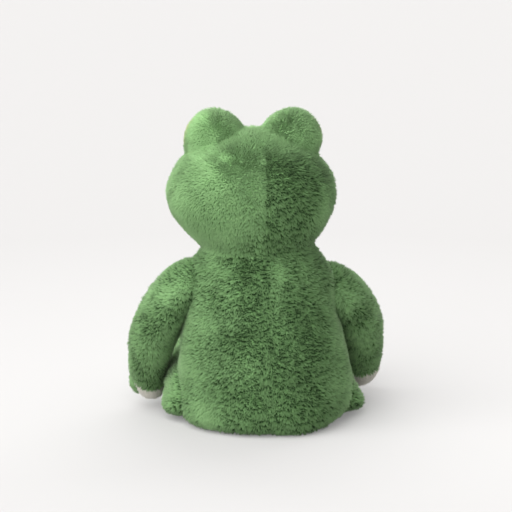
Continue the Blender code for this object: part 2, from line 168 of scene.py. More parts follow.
neck = Vector((0.004, -0.004, 0.225))
head_rings = (
    (0.1520, 0.0090, 0.0000, 0.0000, 0.0000, 0.0),
    (0.1434, 0.0090, 0.0454, 0.0430, 0.0400, 0.0),
    (0.1210, 0.0090, 0.0821, 0.0705, 0.0656, 0.0),
    (0.0901, 0.0090, 0.1037, 0.0834, 0.0776, 0.0),
    (0.0574, 0.0090, 0.1091, 0.0860, 0.0800, 0.0),
    (0.0247, 0.0063, 0.0929, 0.0800, 0.0744, 0.0),
    (0.0024, 0.0027, 0.0713, 0.0714, 0.0664, 0.0),
    (-0.0148, 0.0018, 0.0475, 0.0516, 0.0480, 0.0),
    (-0.0200, 0.0018, 0.0000, 0.0000, 0.0000, 0.0),
)
head_form = stuffed_form("head_form", head_rings, neck)


def ball_rings(high, wide, deep):
    """The rings of a ball with those half sizes."""
    rings = []
    for row in range(7):
        up, around = math.cos(math.pi * row / 6), math.sin(math.pi * row / 6)
        rings.append((high * up, 0, wide * around, deep * around, deep * around, 0))
    return rings


# A mound stands on the head for each eye. They are sewn into the head's cloth, so head and mounds
# are one form with soft creases.
sides = {"left": 1, "right": -1}
mound_places = {
    "left": Vector((0.0575, -0.018, 0.3575)),
    "right": Vector((-0.0385, -0.018, 0.3575)),
}
mound_rings = ball_rings(0.042, 0.043, 0.037)
mound_forms = []
for side, place in mound_places.items():
    mound_forms.append(stuffed_form("mound_form_" + side, mound_rings, place, columns=10))

choose(body_form, head_form, *mound_forms)
bpy.ops.object.join()
trunk = body_form
melt = trunk.modifiers.new("melt", "REMESH")
melt.mode = "VOXEL"
melt.voxel_size = 0.0045
bpy.ops.object.modifier_apply(modifier=melt.name)


def relax(form, share, rounds):
    """Smooths a form where share says, by the given number of rounds."""
    group = form.vertex_groups.new(name="relaxed")
    for vertex in form.data.vertices:
        group.add([vertex.index], share(vertex.co), "REPLACE")
    smooth = form.modifiers.new("smooth", "SMOOTH")
    smooth.iterations = rounds
    smooth.vertex_group = group.name
    bpy.ops.object.modifier_apply(modifier=smooth.name)
    form.vertex_groups.clear()


def push_out(form, place, distance, radius):
    """Pushes a form out in a soft bulge about a place."""
    points = points_of(form)
    away = np.linalg.norm(points - np.array(place), axis=1)
    points += normals_of(form) * (distance * np.exp(-((away / radius) ** 2)))[:, None]
    set_points(form, points)


# The trunk is fuller where the arms are sewn on, and where it sits down on its right.
relax(trunk, lambda co: 1.0, 4)
push_out(trunk, (0.088, 0.000, 0.190), 0.009, 0.030)
push_out(trunk, (-0.080, 0.000, 0.182), 0.009, 0.032)
push_out(trunk, (-0.045, 0.068, 0.010), 0.007, 0.034)
relax(trunk, lambda co: math.exp(-(((co.z - 0.228) / 0.022) ** 2)), 60)
relax(trunk, lambda co: math.exp(-(((co.z - 0.352) / 0.020) ** 2)), 12)
bpy.ops.object.shade_smooth()


def grown_copy(form, distance):
    """A copy of a form, thicker all over by that distance."""
    copy = form.copy()
    copy.data = form.data.copy()
    bpy.context.collection.objects.link(copy)
    points = points_of(form) + normals_of(form) * distance
    set_points(copy, points)
    return copy


def cut_away(form, other):
    """Takes the space of another form out of this one."""
    room = form.modifiers.new("room", "BOOLEAN")
    room.operation = "DIFFERENCE"
    room.object = other
    choose(form)
    bpy.ops.object.modifier_apply(modifier=room.name)


# The arms hang from the shoulders, turned forwards, and the right one a little further.
trunk_room = grown_copy(trunk, 0.0008)
shoulders = {side: Vector((0.004 + sign * 0.075, 0.004, 0.195)) for side, sign in sides.items()}
arm_turns = {"left": (-math.radians(24), 0, 0), "right": (-math.radians(33), 0, 0)}
arm_rings = {
    "left": [
        (0.0180, 0.0037, 0.0000, 0.0000, 0.0000, 0.0),
        (0.0120, 0.0060, 0.0176, 0.0213, 0.0213, 0.0),
        (-0.0050, 0.0160, 0.0288, 0.0350, 0.0350, 0.0),
        (-0.0364, 0.0340, 0.0320, 0.0385, 0.0385, 0.0),
        (-0.0788, 0.0510, 0.0325, 0.0385, 0.0385, 0.0),
        (-0.1240, 0.0600, 0.0290, 0.0360, 0.0360, 0.0),
        (-0.1660, 0.0600, 0.0250, 0.0310, 0.0310, 0.0),
        (-0.1900, 0.0570, 0.0190, 0.0240, 0.0240, 0.0),
        (-0.2000, 0.0558, 0.0000, 0.0000, 0.0000, 0.0),
    ],
    "right": [
        (0.0010, -0.0030, 0.0000, 0.0000, 0.0000, 0.0),
        (-0.0060, -0.0070, 0.0180, 0.0213, 0.0213, 0.0),
        (-0.0200, -0.0190, 0.0288, 0.0350, 0.0350, 0.0),
        (-0.0430, -0.0365, 0.0335, 0.0385, 0.0385, 0.0),
        (-0.0850, -0.0560, 0.0340, 0.0385, 0.0385, 0.0),
        (-0.1300, -0.0640, 0.0300, 0.0360, 0.0360, 0.0),
        (-0.1730, -0.0680, 0.0285, 0.0310, 0.0310, 0.0),
        (-0.2060, -0.0665, 0.0230, 0.0260, 0.0260, 0.0),
        (-0.2170, -0.0660, 0.0000, 0.0000, 0.0000, 0.0),
    ],
}
arm_forms = {}
for side in sides:
    arm = stuffed_form(
        "arm_form_" + side, arm_rings[side], shoulders[side], arm_turns[side], 8, 3
    )
    cut_away(arm, trunk_room)
    arm_forms[side] = arm

# The legs lie on the floor, so their undersides are squarer, and beside the seat each one's root is
# pressed out.
hips = {side: Vector((sign * 0.081, -0.036, 0.0395)) for side, sign in sides.items()}
leg_rings = [
    (0.0600, 0.0, 0.0000, 0.0000, 0.0000, 0.0),
    (0.0540, 0.0, 0.0330, 0.0310, 0.0310, 0.0),
    (0.0280, 0.0, 0.0400, 0.0390, 0.0390, 0.0),
    (-0.0340, 0.0, 0.0400, 0.0404, 0.0404, 0.0),
    (-0.0780, 0.0, 0.0343, 0.0360, 0.0360, 0.004),
    (-0.1140, 0.0, 0.0331, 0.0348, 0.0348, 0.005),
    (-0.1400, 0.0, 0.0367, 0.0412, 0.0412, 0.0),
    (-0.1580, 0.0, 0.0242, 0.0288, 0.0288, 0.0),
    (-0.1620, 0.0, 0.0000, 0.0000, 0.0000, 0.0),
]
leg_root_push = {"left": 0.013, "right": 0.023}
leg_forms = {}
for side in sides:
    leg = stuffed_form("leg_form_" + side, leg_rings, hips[side], (-math.radians(90), 0, 0), 8, 3)
    points = points_of(leg)
    below = np.clip((hips[side].z - points[:, 2]) / 0.0355, 0, 0.93)
    squarer = (1 - below**4) ** 0.25 / np.sqrt(1 - below**2)
    points[:, 0] = hips[side].x + (points[:, 0] - hips[side].x) * squarer
    push = leg_root_push[side] * np.exp(-(((points[:, 2] - 0.008) / 0.022) ** 2))
    outer = np.clip((points[:, 0] * sides[side] - 0.070) / 0.03, 0, 1)
    push *= outer * np.clip((points[:, 1] + 0.05) / 0.035, 0, 1)
    points[:, 0] += push * sides[side]
    points[:, 2] = np.maximum(points[:, 2], 0.0022)
    set_points(leg, points)
    cut_away(leg, trunk_room)
    leg_forms[side] = leg
limb_forms = (*arm_forms.values(), *leg_forms.values())


# The body's cover is sewn from two back panels, a belly and a seat. The back panels and the seat
# are green plush and the belly is cream, all of a knitted backing with a short dense pile.
def slow_noise(points, size, seed):
    """A smooth random value from about -1 to 1 at each point, with bumps of about that size."""
    random = np.random.default_rng(seed)
    total = np.zeros(len(points))
    for _ in range(9):
        direction = random.normal(size=3)
        direction /= np.linalg.norm(direction)
        waves = 2 * math.pi / (size * random.uniform(1.4, 2.8))
        total += np.sin(points @ direction * waves + random.uniform(0, 2 * math.pi))
    return total / 2.4


def step(values, low, high):
    """A soft step from 0 to 1 between two values."""
    share = np.clip((values - low) / (high - low), 0, 1)
    return share * share * (3 - 2 * share)


def draw_in_seam(form, distances, depth=0.0006, width=0.005):
    """Draws a form in along a seam. distances gives each point's distance from the seam."""
    points = points_of(form)
    pull = depth * np.exp(-((distances(points) / width) ** 2))
    points -= normals_of(form) * pull[:, None]
    set_points(form, points)


def cut_panel(form, name, planes, close=False):
    """A copy of the form, kept on the inner side of each plane: its point and outward normal."""
    panel = form.copy()
    panel.data = form.data.copy()
    panel.name = name
    bpy.context.collection.objects.link(panel)
    choose(panel)
    bpy.ops.object.mode_set(mode="EDIT")
    for place, outward in planes:
        bpy.ops.mesh.select_all(action="SELECT")
        bpy.ops.mesh.bisect(plane_co=place, plane_no=outward, clear_outer=True, use_fill=close)
    bpy.ops.object.mode_set(mode="OBJECT")
    return panel


def scatter(cover, spacing, random):
    """Points spread evenly over a cover, and the cover's normals there."""
    mesh = cover.data
    mesh.calc_loop_triangles()
    corners = np.empty(len(mesh.loop_triangles) * 3, np.int32)
    mesh.loop_triangles.foreach_get("vertices", corners)
    corners = corners.reshape(-1, 3)
    points = points_of(cover)[corners]
    areas = np.linalg.norm(
        np.cross(points[:, 1] - points[:, 0], points[:, 2] - points[:, 0]), axis=1
    )
    number = int(areas.sum() / 2 / spacing**2)
    spread = (np.arange(number) + random.random(number)) / number * areas.sum()
    face = np.minimum(np.searchsorted(np.cumsum(areas), spread), len(corners) - 1)
    u, v = random.random(number), random.random(number)
    over = u + v > 1
    u[over], v[over] = 1 - u[over], 1 - v[over]
    shares = np.stack([1 - u - v, u, v], axis=1)[:, :, None]
    up = (normals_of(cover)[corners[face]] * shares).sum(axis=1)
    return (points[face] * shares).sum(axis=1), unit(up)


def clear_of(roots, up, forms, gap=0.0025):
    """Which roots don't lie inside one of the forms, or against it and facing it."""
    free = np.ones(len(roots), bool)
    graph = bpy.context.evaluated_depsgraph_get()
    for form in forms:
        surface = BVHTree.FromObject(form, graph)
        for index, root in enumerate(roots):
            root = Vector(root)
            place, outward, _, distance = surface.find_nearest(root, 0.02)
            if not place:
                continue
            pressed = distance < gap and outward.dot(Vector(up[index])) < 0.1
            if pressed or (root - place).dot(outward) < 0:
                free[index] = False
    return free


def nearest_of(points, centres, count):
    """The numbers of the nearest few centres to each point."""
    tree = KDTree(len(centres))
    for index, centre in enumerate(centres):
        tree.insert(Vector(centre), index)
    tree.balance()
    count = min(count, len(centres))
    return np.array([[index for _, index, _ in tree.find_n(Vector(p), count)] for p in points])


def leader_of(roots, way, clump, random):
    """For each root, the root that its clump leans to. Clumps are wide across the nap."""
    centres = random.permutation(len(roots))[: max(1, int(len(roots) / clump))]
    near = nearest_of(roots, roots[centres], 5)
    apart = roots[centres[near]] - roots[:, None]
    distance = (apart**2).sum(axis=2) + 3 * (apart * way[:, None]).sum(axis=2) ** 2
    return centres[near[np.arange(len(roots)), distance.argmin(axis=1)]]


def gaps_among(points, way, across, share, random):
    """Short slits between rows of clumps, as a function: how deep in a slit each point lies.

    share is how many of the points are the middle of a slit.
    """
    centres = random.permutation(len(points))[: max(1, int(len(points) * share))]
    slant = random.normal(0, 0.25, len(centres))
    along_slit = across[centres] * np.cos(slant)[:, None] + way[centres] * np.sin(slant)[:, None]
    over_slit = way[centres] * np.cos(slant)[:, None] - across[centres] * np.sin(slant)[:, None]
    half_wide = random.uniform(0.0014, 0.0036, len(centres))
    half_high = random.uniform(0.0005, 0.0010, len(centres))
    depth = random.uniform(0.65, 1.0, len(centres))

    def inside(places):
        near = nearest_of(places, points[centres], 4)
        apart = places[:, None] - points[centres][near]
        wide = (apart * along_slit[near]).sum(axis=2) / half_wide[near]
        high = (apart * over_slit[near]).sum(axis=2) / half_high[near]
        return (step(1.4 - np.sqrt(wide**2 + high**2), 0, 0.5) * depth[near]).max(axis=1)

    return inside


def tuft_mesh(name, roots, tips, side, back, width, reach, tone_and_shade, depth):
    """Tufts in one mesh: each a slim spike from three points in the backing to its tip.

    For the colour, reach is how far up the pile a root and a tip count as, its darker roots
    painted shade in the pile's depth; tone is the clump's lightness, which also carries painted
    shade where the pile is ruffled; and depth is how deep in a gap the tuft stands, which paints
    shade on it.
    """
    number = len(roots)
    rims = []
    for x, y in ((-0.9, -0.4), (0.9, -0.4), (0.0, 0.7)):
        rims.append(roots + side * (x * width)[:, None] + back * (y * width)[:, None])
    points = np.stack(rims + [tips], axis=1)
    points[:, :, 2] = np.maximum(points[:, :, 2], 0.0003)
    loops = np.array([0, 2, 1, 0, 1, 3, 1, 2, 3, 2, 0, 3])
    mesh = bpy.data.meshes.new(name)
    mesh.vertices.add(number * 4)
    mesh.vertices.foreach_set("co", points.reshape(-1))
    mesh.loops.add(number * 12)
    mesh.loops.foreach_set("vertex_index", (np.arange(number)[:, None] * 4 + loops).ravel())
    mesh.polygons.add(number * 4)
    mesh.polygons.foreach_set("loop_start", np.arange(number * 4) * 3)
    mesh.update(calc_edges=True)

    # Each tuft has its own cell of the map, with its root at the bottom and its tip at the top.
    cells = math.ceil(math.sqrt(number))
    cell = np.stack([np.arange(number) % cells, np.arange(number) // cells], axis=1) / cells
    inside = np.array([(0.1, 0.1), (0.9, 0.1), (0.5, 0.3), (0.5, 0.9)])
    bake = mesh.uv_layers.new(name="OFBake")
    places = (cell[:, None, :] + inside[None] / cells)[:, loops, :]
    bake.data.foreach_set("uv", places.reshape(-1).astype(np.float32))
    along = np.stack([reach[0], reach[0], reach[0], reach[1]], axis=1).ravel()
    # Painted shade in the gaps: a tuft in a gap is darkened at its roots, not at its tip.
    gap_shaded = np.stack([depth * 2.1] * 3 + [depth * 0], axis=1)
    for layer, values in (("along", along), ("tone_and_shade", np.repeat(tone_and_shade, 4)), ("gap_shade", gap_shaded.ravel())):
        attribute = mesh.attributes.new(layer, "FLOAT", "POINT")
        attribute.data.foreach_set("value", values.astype(np.float32))
    return mesh, points


def thicken_and_join(cover, pile, pile_normals):
    """Gives a cover its backing's thickness, and joins its pile to it."""
    thick = cover.modifiers.new("backing", "SOLIDIFY")
    thick.thickness = 0.0012
    thick.offset = -1
    choose(cover)
    bpy.ops.object.modifier_apply(modifier=thick.name)
    while cover.data.uv_layers:
        cover.data.uv_layers.remove(cover.data.uv_layers[0])
    cover.data.uv_layers.new(name="OFBake")
    backing_normals = normals_of(cover)
    for layer in ("along", "tone_and_shade"):
        attribute = cover.data.attributes.new(layer, "FLOAT", "POINT")
        attribute.data.foreach_set("value", np.full(len(backing_normals), 0.4, np.float32))
    grown = bpy.data.objects.new(cover.name + "_pile", pile)
    bpy.context.collection.objects.link(grown)
    grown.select_set(True)
    bpy.ops.object.join()
    every = np.concatenate([backing_normals, pile_normals.reshape(-1, 3)])
    cover.data.normals_split_custom_set_from_vertices(every.tolist())


plush_spacing, gap_spacing = 0.00092, 0.0036


def grow_pile(
    cover,
    nap,
    seed,
    length=0.0072,
    spacing=plush_spacing,
    curl=0.22,
    tilt=0.48,
    clump=6.0,
    keep_off=(),
    bare=None,
    part_at=None,
    ruffled=None,
):
    """Gives a cover its backing's thickness and its pile, brushed the way that nap points.

    The tufts are length long and spacing apart, curl is how much they wander, tilt how far they
    lean, and clump how many lean together. part_at adds to the nap, and ruffled says how rough
    the pile is, from 0 to 1, and how far painted shade darkens its colour. None grows where the
    cover lies against one of the forms in keep_off, or where bare says so.
    """
    random = np.random.default_rng(seed)
    roots, up = scatter(cover, spacing, random)
    free = clear_of(roots, up, keep_off)
    if bare:
        free &= ~bare(roots)
    roots, up = roots[free], up[free]
    number = len(roots)
    way = np.array(nap, float)
    if len(way.shape) == 1:
        way = np.tile(way, (number, 1))
    if part_at:
        way = way + part_at(roots)
    way = unit(way - up * (up * way).sum(axis=1)[:, None])
    calm, across = way, np.cross(up, way)
    swirl = curl * (slow_noise(roots, 0.010, seed + 1) + slow_noise(roots, 0.04, seed + 2))
    swirl += random.normal(0, 0.2, number)
    way = way * np.cos(swirl)[:, None] + across * np.sin(swirl)[:, None]
    ruffle_and_shade = ruffled(roots) if ruffled else np.full(number, 0.45)
    long = length * (1 + 0.10 * slow_noise(roots, 0.02, seed + 3) + random.normal(0, 0.10, number))
    tilt = tilt + 0.16 * ruffle_and_shade * slow_noise(roots, 0.012, seed + 4) + random.normal(0, 0.10, number)
    rise, bend = np.cos(tilt)[:, None], np.sin(tilt)[:, None]
    tips = roots + (up * rise + way * bend) * long[:, None]
    leader = leader_of(roots, calm, clump, random)
    pull = (random.uniform(0.3, 0.7, number) * (0.8 + 0.3 * ruffle_and_shade))[:, None]
    tips += (tips[leader] - tips) * pull
    in_gap = gaps_among(roots, calm, across, (spacing / gap_spacing) ** 2, random)
    flat = tips - up * (rise * long[:, None])
    ends_there = in_gap(flat) * np.clip(ruffle_and_shade * 1.25, 0, 1)
    # How deep each tuft stands in a slit; the material paints shade on it by that much.
    depth = in_gap(roots + (flat - roots) * 0.45) * np.clip(ruffle_and_shade * 1.25, 0, 1)
    tips += (roots - tips) * (0.35 * ends_there)[:, None]
    rough = np.clip(ruffle_and_shade, 0, 1)
    uneven = random.random(number)[leader] + random.random(number) - 1
    # Clumps differ in lightness at random. Where the pile is ruffled they are also painted darker, as
    # painted shade on the side away from the lamp.
    tone_and_shade = 0.5 + uneven * (0.22 + 0.28 * rough) - 0.9 * ruffle_and_shade
    width = spacing * random.uniform(0.85, 1.2, number)
    side = np.cross(up, way)
    back = up * bend - way * rise
    # Where the pile is ruffled, its roots and tips get more of the root colour: painted shade in the
    # pile's depth.
    reach = 0.5 - 0.5 * rough, 1 - 0.45 * rough
    pile, points = tuft_mesh(
        cover.name + "_pile", roots - up * 0.0006, tips, side, back, width, reach, tone_and_shade, depth
    )
    outward = unit(points - (roots * 0.7 + tips * 0.3)[:, None])
    outward[:, 3] = unit(tips - roots)
    thicken_and_join(cover, pile, unit(up[:, None] * 0.6 + outward * 0.55))


def add_node(tree, kind, inputs=(), **settings):
    """Adds a node to a tree. Its inputs, by name or number, are values or other nodes' outputs."""
    node = tree.nodes.new("ShaderNode" + kind)
    for name, value in settings.items():
        setattr(node, name, value)
    for name, value in dict(inputs).items():
        if isinstance(value, bpy.types.NodeSocket):
            tree.links.new(value, node.inputs[name])
        else:
            node.inputs[name].default_value = value
    return node


def new_group(name, given, gives):
    """An empty node group with those input and output sockets, and their two nodes."""
    group = bpy.data.node_groups.new(name, "ShaderNodeTree")
    for way, sockets in (("INPUT", given), ("OUTPUT", gives)):
        for socket, kind in sockets.items():
            group.interface.new_socket(name=socket, in_out=way, socket_type="NodeSocket" + kind)
    return group, group.nodes.new("NodeGroupInput").outputs, group.nodes.new("NodeGroupOutput").inputs


def new_material(name, **values):
    """A material, its shader with those values on its own sockets, and its node tree."""
    material = bpy.data.materials.new(name)
    material.use_nodes = True
    shader = material.node_tree.nodes["Principled BSDF"]
    for socket, value in values.items():
        shader.inputs[socket.replace("_", " ")].default_value = value
    return material, shader, material.node_tree


def plush_group():
    """Node group: the colour of plush pile, with painted shade in its depth and in the gaps between
    clumps, and uneven from clump to clump.
    """
    colours = {"Root": "Color", "Tip": "Color", "Gap shade": "Color"}
    group, given, gives = new_group("plush pile", colours, {"Color": "Color"})
    along, tone_and_shade, gap_shade = (
        add_node(group, "Attribute", attribute_name=layer).outputs["Fac"]
        for layer in ("along", "tone_and_shade", "gap_shade")
    )
    up_pile = add_node(group, "Math", {0: along, 1: 0.55}, operation="POWER")
    between = {"Factor": up_pile.outputs[0], 6: given["Root"], 7: given["Tip"]}
    pile = add_node(group, "Mix", between, data_type="RGBA")

    # In the small gaps between clumps the pile is painted darker: painted shade in the gaps' depth.
    depth = add_node(group, "Math", {0: gap_shade, 1: 0.92}, operation="MULTIPLY")
    between = {"Factor": depth.outputs[0], 6: pile.outputs[2], 7: given["Gap shade"]}
    gap_shaded = add_node(group, "Mix", between, data_type="RGBA")

    # Clumps differ in lightness, and so do broad patches. The clumps' lightness also holds painted
    # shade, darker where the pile is ruffled.
    spread = {"Value": tone_and_shade, "From Min": -1.2, "To Min": 0.46, "To Max": 1.15}
    clumps = add_node(group, "MapRange", spread)
    place = add_node(group, "TexCoord").outputs["Object"]
    patches = add_node(group, "TexNoise", {"Vector": place, "Scale": 22, "Detail": 3})
    spread = {"From Min": 0.3, "From Max": 0.7, "To Min": 0.92, "To Max": 1.08}
    broad = add_node(group, "MapRange", {"Value": patches.outputs["Fac"], **spread})
    both = {0: clumps.outputs["Result"], 1: broad.outputs["Result"]}
    level = add_node(group, "Math", both, operation="MULTIPLY").outputs[0]
    shaded = add_node(group, "VectorMath", {0: gap_shaded.outputs[2], "Scale": level}, operation="SCALE")
    group.links.new(shaded.outputs["Vector"], gives["Color"])
    return group


plush_colours = plush_group()


def plush_material(name, root, tip, gap, sheen):
    """Plush: matt pile of the group's colours, with a faint bloom where it is seen edge on."""
    material, shader, tree = new_material(
        name,
        Roughness=0.9,
        Specular_IOR_Level=0.2,
        Sheen_Weight=0.25,
        Sheen_Roughness=0.5,
        Sheen_Tint=(*sheen, 1),
    )
    given = {"Root": (*root, 1), "Tip": (*tip, 1), "Gap shade": (*gap, 1)}
    colours = tree.nodes.new("ShaderNodeGroup")
    colours.node_tree = plush_colours
    for socket, colour in given.items():
        colours.inputs[socket].default_value = colour
    tree.links.new(colours.outputs["Color"], shader.inputs["Base Color"])
    return material


def parted(seam, lean):
    """The way that pile leans beside a seam up the back: away from it, or over it."""

    def away(points):
        across = points[:, 0] - seam
        push = np.zeros_like(points)
        push[:, 0] = np.sign(across) * lean * np.exp(-((across / 0.006) ** 2)) * (points[:, 1] > 0)
        return push

    return away


def body_ruffle_and_shade(points):
    """The back's pile is smooth at its left and beside the seam high up, and ruffled elsewhere.
    Where it is ruffled its colour is painted darker: painted shade on the side away from the lamp.
    """
    x, z = points[:, 0], points[:, 2]
    ruffle_and_shade = 0.42 + 0.40 * step(-x, -0.076, -0.044)
    ruffle_and_shade += 0.30 * np.exp(-(((x - 0.018) / 0.018) ** 2)) * step(z, 0.09, 0.13)
    ruffle_and_shade -= 0.42 * np.exp(-(((x + 0.013) / 0.008) ** 2)) * step(z, 0.10, 0.19)
    ruffle_and_shade -= 0.30 * step(-x, 0.066, 0.086)
    ruffle_and_shade += 0.40 * np.exp(-(((x + 0.035) / 0.035) ** 2) - ((z - 0.07) / 0.05) ** 2)
    ruffle_and_shade = 0.40 + (ruffle_and_shade - 0.40) * step(points[:, 1], -0.05, -0.01)
    return np.clip(ruffle_and_shade + 0.18 * slow_noise(points, 0.030, 77), 0, 1.2)


def head_ruffle_and_shade(points):
    """The head's pile is smooth at its left, and ruffled at its right and low at the nape. Its colour
    is painted darker where ruffled and lighter on top of the head and the mounds: painted shade on
    the side away from the lamp and at the nape, and painted light on top.
    """
    x, z = points[:, 0], points[:, 2]
    ruffle_and_shade = 0.08 + 0.72 * step(-x, -0.010, 0.004) - 0.35 * step(-x, 0.050, 0.080)
    ruffle_and_shade += 0.30 * np.exp(-(((x + 0.025) / 0.030) ** 2) - ((z - 0.315) / 0.030) ** 2)
    ruffle_and_shade += 0.40 * np.exp(-(((x - 0.020) / 0.022) ** 2)) * step(-z, -0.305, -0.270)
    ruffle_and_shade += 0.5 * np.exp(-(((x - 0.015) / 0.05) ** 2) - ((z - 0.236) / 0.014) ** 2)
    ruffle_and_shade -= 0.95 * step(z, 0.335, 0.358)
    ruffle_and_shade = 0.30 + (ruffle_and_shade - 0.30) * step(points[:, 1], -0.05, -0.01)
    return np.clip(ruffle_and_shade + 0.12 * slow_noise(points, 0.025, 78), -0.3, 1.2)


def cream_ruffle(points):
    return np.clip(0.25 + 0.10 * slow_noise(points, 0.030, 76), 0, 1)


def limb_ruffle(points):
    return np.clip(0.70 + 0.22 * slow_noise(points, 0.022, 79), 0, 1.2)


# Each plush's root colour is darker than its tip, and its gap colour darker still: painted shade in
# the depth of the pile and in the gaps between its clumps.
cloths = {
    "green_fur": plush_material(
        "green plush",
        root=(0.098, 0.255, 0.060),
        tip=(0.318, 0.548, 0.243),
        gap=(0.012, 0.045, 0.008),
        sheen=(0.7, 0.85, 0.6),
    ),
    "cream_fur": plush_material(
        "cream plush",
        root=(0.60, 0.575, 0.49),
        tip=(0.88, 0.855, 0.77),
        gap=(0.46, 0.43, 0.36),
        sheen=(0.9, 0.9, 0.85),
    ),
}


def wear(cover, cloth, node):
    """Gives a cover its cloth, in place of the frame's node."""
    cover.data.materials.clear()
    cover.data.materials.append(cloths[cloth])
    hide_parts(node)


def draw_in_back_seam(seam, above):
    """Draws the trunk in along the seam up its back, above the neck or below it."""

    def distances(points):
        on_back = (points[:, 1] > 0) & ((points[:, 2] > neck_seam) == above)
        return np.where(on_back, points[:, 0] - seam, 1)

    draw_in_seam(trunk, distances)


back_seam, side_seam, seat_seam, neck_seam = -0.004, -0.020, 0.016, 0.2245
draw_in_back_seam(back_seam, above=False)
draw_in_seam(trunk, lambda p: np.where(p[:, 2] < neck_seam, p[:, 1] - side_seam, 1))
below_neck = ((0, 0, neck_seam), (0, 0, 1))
above_seat = ((0, 0, seat_seam), (0, 0, -1))
behind_sides = ((0, side_seam, 0), (0, -1, 0))
body_panels = {
    "body_back_left": (below_neck, above_seat, behind_sides, ((back_seam, 0, 0), (-1, 0, 0))),
    "body_back_right": (below_neck, above_seat, behind_sides, ((back_seam, 0, 0), (1, 0, 0))),
    "belly": (below_neck, above_seat, ((0, side_seam, 0), (0, 1, 0))),
    "seat": (((0, 0, seat_seam), (0, 0, 1)),),
}
for number, (name, planes) in enumerate(body_panels.items()):
    cover = cut_panel(trunk, name + "_cover", planes)
    cream = name == "belly"
    grow_pile(
        cover,
        nap=(0, 0, -1),
        seed=100 + 10 * number,
        spacing={"belly": 0.0011, "seat": 0.0012}.get(name, plush_spacing),
        keep_off=limb_forms,
        part_at=parted(back_seam, -0.15),
        ruffled=cream_ruffle if cream else body_ruffle_and_shade,
    )
    wear(cover, "cream_fur" if cream else "green_fur", name)
    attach(cover, "body")


# The head's cover is sewn from two back panels, a face and a chin, and a mound for each eye. The
# chin is cream. The head is sewn to the body at the neck.
head_back_seam, head_side_seam, chin_seam = 0.003, -0.016, 0.261
draw_in_back_seam(head_back_seam, above=True)
above_neck = ((0, 0, neck_seam), (0, 0, -1))
head_behind_sides = ((0, head_side_seam, 0), (0, -1, 0))
head_before_sides = ((0, head_side_seam, 0), (0, 1, 0))
head_panels = {
    "head_back_left": (above_neck, head_behind_sides, ((head_back_seam, 0, 0), (-1, 0, 0))),
    "head_back_right": (above_neck, head_behind_sides, ((head_back_seam, 0, 0), (1, 0, 0))),
    "face": (head_before_sides, ((0, 0, chin_seam), (0, 0, -1))),
    "chin": (above_neck, head_before_sides, ((0, 0, chin_seam), (0, 0, 1))),
}


def keep_faces(cover, wanted):
    """Deletes the faces of a cover whose centres aren't wanted."""
    choose(cover)
    bpy.ops.object.mode_set(mode="EDIT")
    shape = bmesh.from_edit_mesh(cover.data)
    for face in shape.faces:
        face.select_set(not wanted(face.calc_center_median()))
    bpy.ops.mesh.select_mode(type="FACE")
    bpy.ops.mesh.delete(type="FACE")
    bpy.ops.object.mode_set(mode="OBJECT")


def on_mound(point, side):
    place = mound_places[side]
    return point.z > 0.340 and (point - place).length < 0.047


# The eyes look outwards and a little up.
eye_turns = {
    side: (math.radians(90 - 12), 0, sign * math.radians(46)) for side, sign in sides.items()
}
look = {side: Euler(eye_turns[side]).to_matrix() @ Vector((0, 0, 1)) for side in sides}


def under_patch(points, edge=0.0258):
    """Where the eye patches lie on the mounds."""
    covered = np.zeros(len(points), bool)
    for side, place in mound_places.items():
        away = points - np.array(place)
        axis = np.array(look[side])
        along = away @ axis
        aside = np.linalg.norm(away - along[:, None] * axis, axis=1)
        below = np.clip(-away[:, 2] / edge, 0, 1)
        covered |= (aside < edge * (1 - 0.25 * below)) & (along > 0)
    return covered


# The mouth's thread and the nostrils press the pile flat.
mouth_middle, mouth_half, mouth_rise, mouth_height = 0.009, 0.058, 0.012, 0.261
nostril_places = ((0.0195, 0.285), (-0.0005, 0.285))


def mouth_at(across):
    """A place on the mouth's line, from -1 at its right end to 1 at its left, seen from ahead."""
    return mouth_middle + across * mouth_half, mouth_height + mouth_rise * across**2


def under_thread(points):
    """Where the mouth and the nostrils lie on the face."""
    across = (points[:, 0] - mouth_middle) / mouth_half
    near = np.abs(points[:, 2] - mouth_height - mouth_rise * across**2) < 0.0030
    covered = near & (np.abs(across) < 1.02)
    for x, z in nostril_places:
        covered |= np.hypot(points[:, 0] - x, points[:, 2] - z) < 0.0055
    return covered & (points[:, 1] < 0)


def bend_at_neck(piece):
    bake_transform(piece)


def down_from_crown(points):
    """The way from the head's crown, outwards."""
    around = points - np.array((0.010, -0.010, 0))
    around[:, 2] = 0
    return unit(around) * 0.4 + parted(head_back_seam, -0.4)(points)


def off_mounds(point):
    return not (on_mound(point, "left") or on_mound(point, "right"))


down_head = (0, 0.35, -1)
for number, (name, planes) in enumerate(head_panels.items()):
    cover = cut_panel(trunk, name + "_cover", planes)
    keep_faces(cover, off_mounds)
    cream = name == "chin"
    grow_pile(
        cover,
        down_head,
        200 + 10 * number,
        bare=under_thread,
        part_at=down_from_crown,
        ruffled=cream_ruffle if cream else head_ruffle_and_shade,
    )
    wear(cover, "cream_fur" if cream else "green_fur", name)
    bend_at_neck(cover)
for number, side in enumerate(sides):
    cover = cut_panel(trunk, f"eye_mound_{side}_cover", (above_neck,))
    keep_faces(cover, lambda point: on_mound(point, side))
    grow_pile(
        cover,
        down_head,
        250 + 10 * number,
        length=0.0064,
        bare=under_patch,
        part_at=down_from_crown,
        ruffled=head_ruffle_and_shade,
    )
    wear(cover, "green_fur", "eye_mound_" + side)
    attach(cover, "head")


# Each arm's cover is sewn from a back and a front panel, a cream palm and a thumb. The arm is
# sewn closed to the body at the shoulder.
thumb_rings = ball_rings(0.025, 0.014, 0.017)


def bend_at_shoulder(piece):
    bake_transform(piece)


